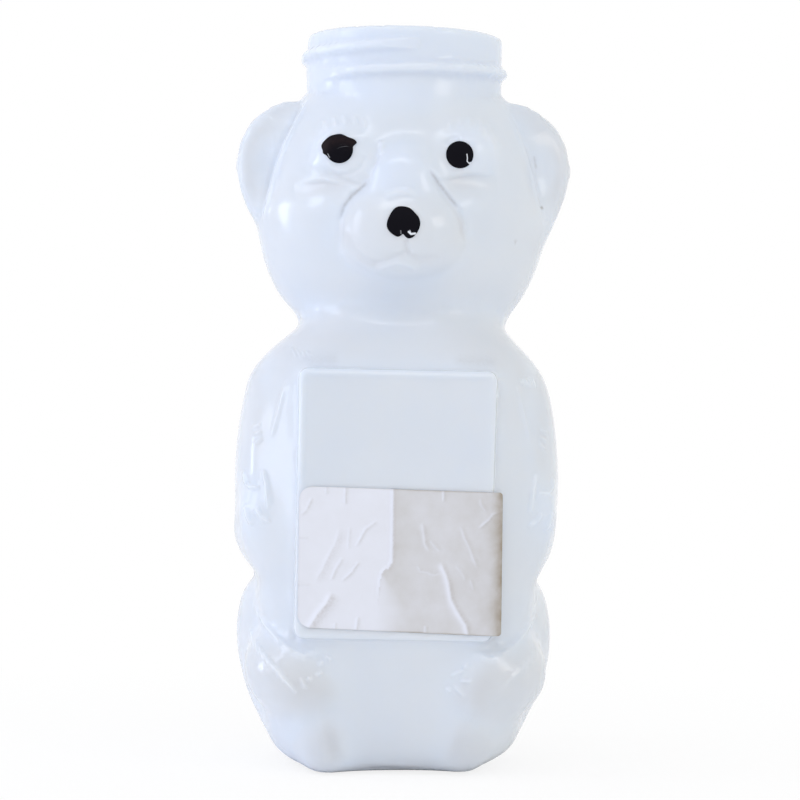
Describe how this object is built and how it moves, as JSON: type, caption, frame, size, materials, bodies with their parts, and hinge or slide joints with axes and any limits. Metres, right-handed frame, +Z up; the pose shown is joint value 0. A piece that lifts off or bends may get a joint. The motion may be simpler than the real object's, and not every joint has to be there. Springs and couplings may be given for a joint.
{
  "type": "bear-shaped squeeze bottle",
  "caption": "Hollow squeeze bottle moulded as a sitting bear, with an open threaded neck, printed eyes and nose, and a blank paper label on a raised belly panel.",
  "frame": {"origin": "centre of the base, on the surface that the bottle stands on", "axes": "+Z up along the neck, -Y towards the front of the bear, +X to the right as seen from the front"},
  "size_m": [0.0612, 0.054, 0.131],
  "materials": {
    "natural_ldpe": "milky translucent, unpigmented, soft moulded gloss",
    "black_ink": "printed ink film, satin",
    "label_paper": "aged, wrinkled, uncoated"
  },
  "bodies": {
    "root": {"bottle": "natural_ldpe", "left_eye_print": "black_ink", "right_eye_print": "black_ink", "nose_print": "black_ink", "paper_label": "label_paper"}
  },
  "joints": []
}
